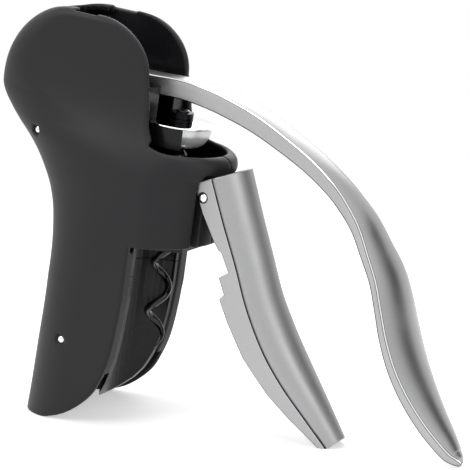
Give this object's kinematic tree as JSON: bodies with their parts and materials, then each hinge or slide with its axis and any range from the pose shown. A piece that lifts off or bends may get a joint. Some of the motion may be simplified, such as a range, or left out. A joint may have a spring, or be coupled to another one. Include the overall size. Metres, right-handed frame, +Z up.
{
  "type": "lever corkscrew",
  "caption": "Two-handed lever corkscrew with a leaning moulded body, a curved cast lever geared to a sliding helical worm, and a hinged clamp grip.",
  "frame": {"origin": "middle of the bottom face of the whole corkscrew's box, on the floor under it", "axes": "+X forward towards the lever's paddle, +Y across to the corkscrew's left, +Z up. The worm's axis leans 9.09 degrees forward of +Z, in the XZ plane"},
  "size_m": [0.1904, 0.0464, 0.1565],
  "materials": {
    "soft_black": "soft-touch charcoal",
    "inner_black": "smooth black moulding",
    "cast_metal": "satin cast with bright edges",
    "chrome": "polished",
    "dark_steel": "blackened",
    "worm_coat": "glossy black coating on a steel wire",
    "brass": "turned"
  },
  "bodies": {
    "body": {"right_body_shell": "soft_black", "left_body_shell": "soft_black", "upper_cross_pin": "chrome", "lower_cross_pin": "chrome", "left_side_plate": "inner_black", "right_side_plate": "inner_black", "left_axle_bush": "brass", "right_axle_bush": "brass", "slot_stop": "inner_black", "nut_plate": "inner_black", "neck_liner": "inner_black", "worm_nut": "chrome", "grip_pin": "chrome"},
    "lever": {"lever": "cast_metal", "left_gear_sector": "dark_steel", "right_gear_sector": "dark_steel", "gear_rivet_1": "chrome", "gear_rivet_2": "chrome", "gear_rivet_3": "chrome", "lever_axle": "chrome"},
    "carrier": {"worm_carrier": "chrome", "left_rack": "dark_steel", "right_rack": "dark_steel", "rack_rivet_1": "chrome", "rack_rivet_2": "chrome", "thrust_washer": "dark_steel"},
    "worm": {"worm": "worm_coat", "worm_collar": "dark_steel"},
    "grip": {"grip": "cast_metal"}
  },
  "joints": [
    {"name": "lever_swing", "type": "hinge", "parent": "body", "child": "lever", "pos_m": [-0.05735, 0, 0.12679], "axis": [0, -1, 0], "range_deg": [0, 90]},
    {"name": "carrier_slide", "type": "slide", "parent": "body", "child": "carrier", "axis": [0.158, 0, 0.9874], "range_m": [-0.0001, 0.04173]},
    {"name": "worm_spin", "type": "hinge", "parent": "carrier", "child": "worm", "pos_m": [-0.02133, 0, 0.09874], "axis": [0.158, 0, 0.9874], "range_deg": [-1, 777.45]},
    {"name": "grip_swing", "type": "hinge", "parent": "body", "child": "grip", "pos_m": [-0.00362, 0, 0.08912], "axis": [0, 1, 0], "range_deg": [0, 35]}
  ],
  "couplings": [
    {"joint": "carrier_slide", "follows": "lever_swing", "m_per_rad": 0.0265},
    {"joint": "worm_spin", "follows": "lever_swing", "ratio": 8.6272}
  ]
}
